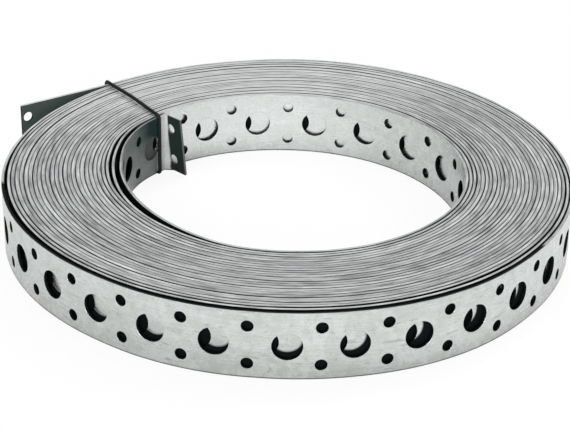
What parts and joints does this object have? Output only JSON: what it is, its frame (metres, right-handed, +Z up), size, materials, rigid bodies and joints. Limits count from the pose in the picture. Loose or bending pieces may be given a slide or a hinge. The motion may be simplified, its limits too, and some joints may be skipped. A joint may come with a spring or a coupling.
{
  "type": "roll of perforated metal strap",
  "caption": "Roll of galvanised perforated fixing strap lying flat, with a free outer end, a bent inner end and a black wire tie round its section.",
  "frame": {"origin": "middle of the roll on the plane that it lies on", "axes": "+Z up along the bore; the free outer end points along -X at the +Y side; +X completes the right-handed frame"},
  "size_m": [0.144, 0.1447, 0.0188],
  "materials": {
    "galvanised_strap": "galvanised strip, satin, lightly mottled, bare at the slit edges",
    "black_wire": "black annealed wire, dull"
  },
  "bodies": {
    "root": {"perforated_strap": "galvanised_strap", "tie_wire": "black_wire"}
  },
  "joints": []
}
